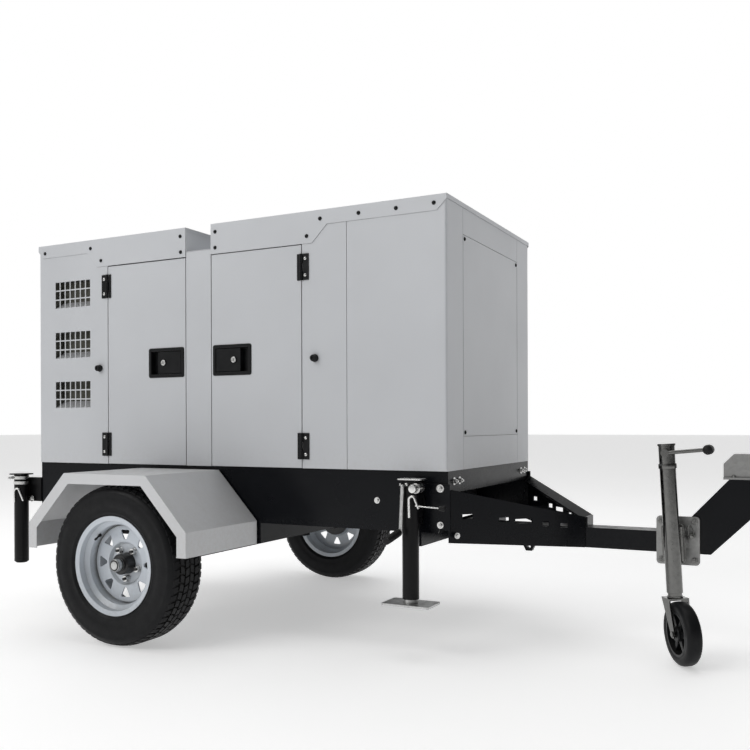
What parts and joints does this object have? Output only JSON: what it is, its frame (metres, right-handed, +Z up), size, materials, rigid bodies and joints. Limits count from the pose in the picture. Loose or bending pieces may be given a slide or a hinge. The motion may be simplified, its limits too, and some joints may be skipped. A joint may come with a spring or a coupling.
{
  "type": "towable diesel generator",
  "caption": "Sound-proofed diesel generating set on a two-wheel towable trailer, with hinged canopy doors, jockey wheel, corner jacks and ball coupling.",
  "frame": {"origin": "on the ground under the middle of the whole trailer's box", "axes": "+X towards the towing end, +Y to the trailer's left, +Z up"},
  "size_m": [3.475, 1.9, 1.733],
  "materials": {
    "canopy_paint": "satin",
    "base_black": "satin",
    "guard_paint": "satin",
    "rim_paint": "satin",
    "hub_black": "satin",
    "tyre": "matte",
    "jockey_tyre": "matte",
    "jack_black": "satin",
    "zinc_plate": "brushed",
    "tank_steel": "satin",
    "black_plastic": "matte",
    "stop_red": "gloss",
    "engine_paint": "satin",
    "cast_alloy": "matte",
    "exhaust_steel": "matte"
  },
  "bodies": {
    "trailer": {"base_frame": "base_black", "fuel_tank": "tank_steel", "axle_beam": "base_black", "mudguards": "guard_paint", "drawbar_arms": "base_black", "tow_beam": "base_black", "coupling_body": "zinc_plate", "frame_bolts": "zinc_plate", "rear_side_panels": "canopy_paint", "rear_wall": "canopy_paint", "fixed_side_panels": "canopy_paint", "front_wall": "canopy_paint", "front_cover": "canopy_paint", "roof_rear": "canopy_paint", "roof_front": "canopy_paint", "fixed_hinge_leaves": "black_plastic", "screws_and_stops": "black_plastic", "engine": "engine_paint", "alternator": "cast_alloy", "radiator": "cast_alloy", "silencer": "exhaust_steel", "battery": "black_plastic", "control_panel": "canopy_paint", "jack_mounts": "jack_black", "jockey_bracket": "zinc_plate"},
    "wheel_right": {"tyre_right": "tyre", "rim_right": "rim_paint", "hub_right": "hub_black"},
    "door_front_right": {"door_front_right": "canopy_paint", "door_front_right_hardware": "black_plastic"},
    "paddle_front_right": {"door_front_right_paddle": "black_plastic"},
    "door_rear_right": {"door_rear_right": "canopy_paint", "door_rear_right_hardware": "black_plastic"},
    "paddle_rear_right": {"door_rear_right_paddle": "black_plastic"},
    "wheel_left": {"tyre_left": "tyre", "rim_left": "rim_paint", "hub_left": "hub_black"},
    "door_front_left": {"door_front_left": "canopy_paint", "door_front_left_hardware": "black_plastic"},
    "paddle_front_left": {"door_front_left_paddle": "black_plastic"},
    "door_rear_left": {"door_rear_left": "canopy_paint", "door_rear_left_hardware": "black_plastic"},
    "paddle_rear_left": {"door_rear_left_paddle": "black_plastic"},
    "control_door": {"control_door": "canopy_paint"},
    "stop_button": {"stop_button": "stop_red"},
    "cooling_fan": {"cooling_fan": "black_plastic"},
    "coupling_latch": {"coupling_latch": "base_black"},
    "jockey_swing": {"jockey_tube": "zinc_plate"},
    "jockey_crank": {"jockey_crank": "zinc_plate"},
    "jockey_leg": {"jockey_leg": "zinc_plate"},
    "jockey_fork": {"jockey_fork": "zinc_plate"},
    "jockey_wheel": {"jockey_wheel": "jockey_tyre"},
    "jack_swing_right": {"jack_tube_right": "jack_black"},
    "jack_crank_right": {"jack_crank_right": "zinc_plate"},
    "jack_leg_front_right": {"jack_leg_front_right": "zinc_plate"},
    "jack_leg_rear_right": {"jack_leg_rear_right": "jack_black"},
    "jack_swing_left": {"jack_tube_left": "jack_black"},
    "jack_crank_left": {"jack_crank_left": "zinc_plate"},
    "jack_leg_front_left": {"jack_leg_front_left": "zinc_plate"},
    "jack_leg_rear_left": {"jack_leg_rear_left": "jack_black"}
  },
  "joints": [
    {"name": "wheel_spin_right", "type": "hinge", "parent": "trailer", "child": "wheel_right", "pos_m": [-0.7375, -0.838, 0.315], "axis": [0, 1, 0], "continuous": true},
    {"name": "door_front_right_hinge", "type": "hinge", "parent": "trailer", "child": "door_front_right", "pos_m": [-0.1325, -0.506, 1.132], "axis": [0, 0, 1], "range_deg": [0, 160]},
    {"name": "paddle_front_right_pull", "type": "hinge", "parent": "door_front_right", "child": "paddle_front_right", "pos_m": [-0.5485, -0.497, 1.132], "axis": [0, 0, 1], "range_deg": [-35, 0], "stiffness_Nm_per_rad": 0.6},
    {"name": "door_rear_right_hinge", "type": "hinge", "parent": "trailer", "child": "door_rear_right", "pos_m": [-1.1615, -0.506, 1.132], "axis": [0, 0, 1], "range_deg": [-160, 0]},
    {"name": "paddle_rear_right_pull", "type": "hinge", "parent": "door_rear_right", "child": "paddle_rear_right", "pos_m": [-0.7485, -0.497, 1.132], "axis": [0, 0, 1], "range_deg": [0, 35], "stiffness_Nm_per_rad": 0.6},
    {"name": "wheel_spin_left", "type": "hinge", "parent": "trailer", "child": "wheel_left", "pos_m": [-0.7375, 0.838, 0.315], "axis": [0, 1, 0], "continuous": true},
    {"name": "door_front_left_hinge", "type": "hinge", "parent": "trailer", "child": "door_front_left", "pos_m": [-0.1325, 0.506, 1.132], "axis": [0, 0, 1], "range_deg": [-160, 0]},
    {"name": "paddle_front_left_pull", "type": "hinge", "parent": "door_front_left", "child": "paddle_front_left", "pos_m": [-0.5485, 0.497, 1.132], "axis": [0, 0, 1], "range_deg": [0, 35], "stiffness_Nm_per_rad": 0.6},
    {"name": "door_rear_left_hinge", "type": "hinge", "parent": "trailer", "child": "door_rear_left", "pos_m": [-1.1615, 0.506, 1.132], "axis": [0, 0, 1], "range_deg": [0, 160]},
    {"name": "paddle_rear_left_pull", "type": "hinge", "parent": "door_rear_left", "child": "paddle_rear_left", "pos_m": [-0.7485, 0.497, 1.132], "axis": [0, 0, 1], "range_deg": [-35, 0], "stiffness_Nm_per_rad": 0.6},
    {"name": "control_door_hinge", "type": "hinge", "parent": "trailer", "child": "control_door", "pos_m": [-1.5995, -0.2285, 1.38], "axis": [0, 0, 1], "range_deg": [0, 120]},
    {"name": "stop_button_press", "type": "slide", "parent": "trailer", "child": "stop_button", "axis": [1, 0, 0], "range_m": [0, 0.005], "stiffness_N_per_m": 800},
    {"name": "fan_spin", "type": "hinge", "parent": "trailer", "child": "cooling_fan", "pos_m": [0.1995, 0, 1.06], "axis": [1, 0, 0], "continuous": true},
    {"name": "coupling_latch_lift", "type": "hinge", "parent": "trailer", "child": "coupling_latch", "pos_m": [1.6075, 0, 0.762], "axis": [0, -1, 0], "range_deg": [0, 60]},
    {"name": "jockey_swing_up", "type": "hinge", "parent": "trailer", "child": "jockey_swing", "pos_m": [1.2305, -0.12, 0.423], "axis": [0, 1, 0], "range_deg": [-90, 0]},
    {"name": "jockey_crank_turn", "type": "hinge", "parent": "jockey_swing", "child": "jockey_crank", "pos_m": [1.21307, -0.2, 0.75554], "axis": [0, -1, 0], "range_deg": [0, 14400]},
    {"name": "jockey_leg_extend", "type": "slide", "parent": "jockey_swing", "child": "jockey_leg", "axis": [0.0523, 0, -0.9986], "range_m": [0, 0.2001]},
    {"name": "castor_turn", "type": "hinge", "parent": "jockey_leg", "child": "jockey_fork", "pos_m": [1.24093, -0.17, 0.22402], "axis": [-0.0523, 0, 0.9986], "continuous": true},
    {"name": "jockey_wheel_spin", "type": "hinge", "parent": "jockey_fork", "child": "jockey_wheel", "pos_m": [1.2706, -0.20816, 0.11342], "axis": [0.8469, 0.5299, 0.0444], "continuous": true},
    {"name": "jack_swing_right_up", "type": "hinge", "parent": "trailer", "child": "jack_swing_right", "pos_m": [0.3705, -0.518, 0.572], "axis": [0, 1, 0], "range_deg": [0, 90]},
    {"name": "jack_crank_right_turn", "type": "hinge", "parent": "jack_swing_right", "child": "jack_crank_right", "pos_m": [0.3565, -0.6, 0.636], "axis": [0, -1, 0], "range_deg": [0, 18000]},
    {"name": "jack_leg_front_right_lower", "type": "slide", "parent": "jack_swing_right", "child": "jack_leg_front_right", "axis": [0, 0, -1], "range_m": [0, 0.2501]},
    {"name": "jack_leg_rear_right_lower", "type": "slide", "parent": "trailer", "child": "jack_leg_rear_right", "axis": [0, 0, -1], "range_m": [0, 0.25]},
    {"name": "jack_swing_left_up", "type": "hinge", "parent": "trailer", "child": "jack_swing_left", "pos_m": [0.3705, 0.518, 0.572], "axis": [0, 1, 0], "range_deg": [-90, 0]},
    {"name": "jack_crank_left_turn", "type": "hinge", "parent": "jack_swing_left", "child": "jack_crank_left", "pos_m": [0.4345, 0.6, 0.586], "axis": [0, 1, 0], "range_deg": [0, 18000]},
    {"name": "jack_leg_front_left_lower", "type": "slide", "parent": "jack_swing_left", "child": "jack_leg_front_left", "axis": [-1, 0, 0], "range_m": [0, 0.2501]},
    {"name": "jack_leg_rear_left_lower", "type": "slide", "parent": "trailer", "child": "jack_leg_rear_left", "axis": [0, 0, -1], "range_m": [0, 0.25]}
  ],
  "couplings": [
    {"joint": "jockey_leg_extend", "follows": "jockey_crank_turn", "m_per_rad": 0.00079577},
    {"joint": "jack_leg_front_right_lower", "follows": "jack_crank_right_turn", "m_per_rad": 0.00079577},
    {"joint": "jack_leg_front_left_lower", "follows": "jack_crank_left_turn", "m_per_rad": 0.00079577}
  ]
}
